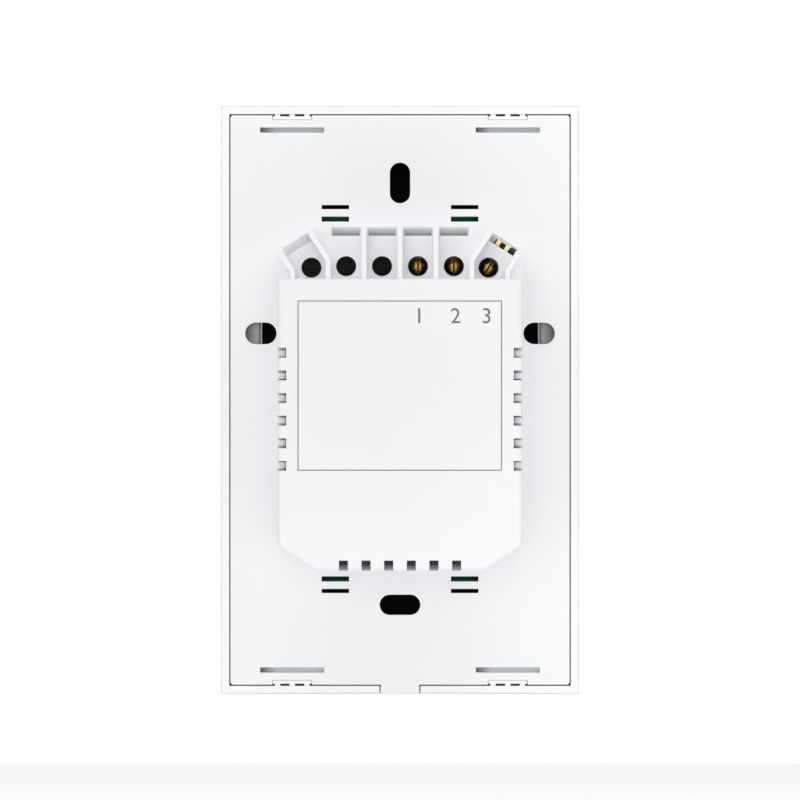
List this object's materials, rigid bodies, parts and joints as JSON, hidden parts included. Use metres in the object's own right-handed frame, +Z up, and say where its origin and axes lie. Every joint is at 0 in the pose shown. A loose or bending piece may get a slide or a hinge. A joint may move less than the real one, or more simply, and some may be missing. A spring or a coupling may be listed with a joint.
{
  "type": "dimmer switch",
  "caption": "Wall-mounted smart touch dimmer with a flat glass front cover and a white rear housing that holds screw terminals with rising cages.",
  "frame": {"origin": "middle of the rear face of the base plate, in the plane that lies against the wall", "axes": "+X to the right seen from the front, +Z up towards the terminals, +Y out of the back into the wall, so the glass faces -Y"},
  "size_m": [0.073, 0.036, 0.12],
  "materials": {
    "shell_white": "fine satin moulding",
    "cover_white": "smooth moulding",
    "front_glass": "white backed glass",
    "mask_black": "printed film",
    "board_green": "solder mask",
    "guide_white": "moulded",
    "chip_black": "moulded epoxy",
    "module_blue": "solder mask",
    "tinned_steel": "tinned sheet",
    "header_black": "moulded",
    "screw_steel": "zinc plated",
    "capacitor_sleeve": "shrunk sleeve",
    "capacitor_box": "moulded box",
    "varistor_blue": "dipped coating",
    "ferrite": "sintered ferrite",
    "coil_tape": "wrapped tape",
    "copper_wire": "enamelled copper wire",
    "fuse_ceramic": "ceramic tube with tinned caps",
    "sink_aluminium": "extruded",
    "spring_steel": "plated wire",
    "contact_brass": "punched sheet",
    "nickel": "nickel plated",
    "screw_brass": "turned",
    "led_white": "moulded lens"
  },
  "bodies": {
    "base": {"rear_shell": "shell_white", "touch_board": "board_green", "power_board": "board_green", "light_guide": "guide_white", "touch_chip": "chip_black", "driver_chip": "chip_black", "transistor_1": "chip_black", "transistor_2": "chip_black", "bridge_rectifier": "chip_black", "wireless_module": "module_blue", "shield_can": "tinned_steel", "header_socket": "header_black", "header_plug": "header_black", "power_board_screws": "screw_steel", "transistor_screws": "screw_steel", "bulk_capacitor_1": "capacitor_sleeve", "bulk_capacitor_2": "capacitor_sleeve", "film_capacitor": "capacitor_box", "varistor": "varistor_blue", "transformer_core": "ferrite", "transformer_coil": "coil_tape", "line_choke": "copper_wire", "board_fuse": "fuse_ceramic", "heat_sink": "sink_aluminium", "touch_spring_1": "spring_steel", "contact_bracket_1": "contact_brass", "touch_spring_2": "spring_steel", "contact_bracket_2": "contact_brass", "touch_spring_3": "spring_steel", "contact_bracket_3": "contact_brass", "level_led_1": "led_white", "level_led_2": "led_white", "level_led_3": "led_white", "level_led_4": "led_white", "level_led_5": "led_white"},
    "front_cover": {"bezel_frame": "cover_white", "glass_panel": "front_glass", "light_mask": "mask_black"},
    "screw_1": {"clamp_screw_1": "screw_brass"},
    "cage_1": {"clamp_cage_1": "nickel"},
    "screw_2": {"clamp_screw_2": "screw_brass"},
    "cage_2": {"clamp_cage_2": "nickel"},
    "screw_3": {"clamp_screw_3": "screw_brass"},
    "cage_3": {"clamp_cage_3": "nickel"}
  },
  "joints": [
    {"name": "cover_lift", "type": "slide", "parent": "base", "child": "front_cover", "axis": [0, -1, 0], "range_m": [0, 0.03]},
    {"name": "cage_1_rise", "type": "slide", "parent": "base", "child": "cage_1", "axis": [0, 1, 0], "range_m": [0, 0.0024]},
    {"name": "screw_1_turn", "type": "hinge", "parent": "base", "child": "screw_1", "pos_m": [-0.00365, 0.014, 0.0272], "axis": [0, 1, 0], "range_deg": [-1730, 0]},
    {"name": "cage_2_rise", "type": "slide", "parent": "base", "child": "cage_2", "axis": [0, 1, 0], "range_m": [0, 0.0024]},
    {"name": "screw_2_turn", "type": "hinge", "parent": "base", "child": "screw_2", "pos_m": [-0.01095, 0.014, 0.0272], "axis": [0, 1, 0], "range_deg": [-1730, 0]},
    {"name": "cage_3_rise", "type": "slide", "parent": "base", "child": "cage_3", "axis": [0, 1, 0], "range_m": [0, 0.0024]},
    {"name": "screw_3_turn", "type": "hinge", "parent": "base", "child": "screw_3", "pos_m": [-0.018, 0.014, 0.0269], "axis": [0, 1, 0], "range_deg": [-1730, 0]}
  ],
  "couplings": [
    {"joint": "screw_1_turn", "follows": "cage_1_rise", "rad_per_m": -12566},
    {"joint": "screw_2_turn", "follows": "cage_2_rise", "rad_per_m": -12566},
    {"joint": "screw_3_turn", "follows": "cage_3_rise", "rad_per_m": -12566}
  ]
}
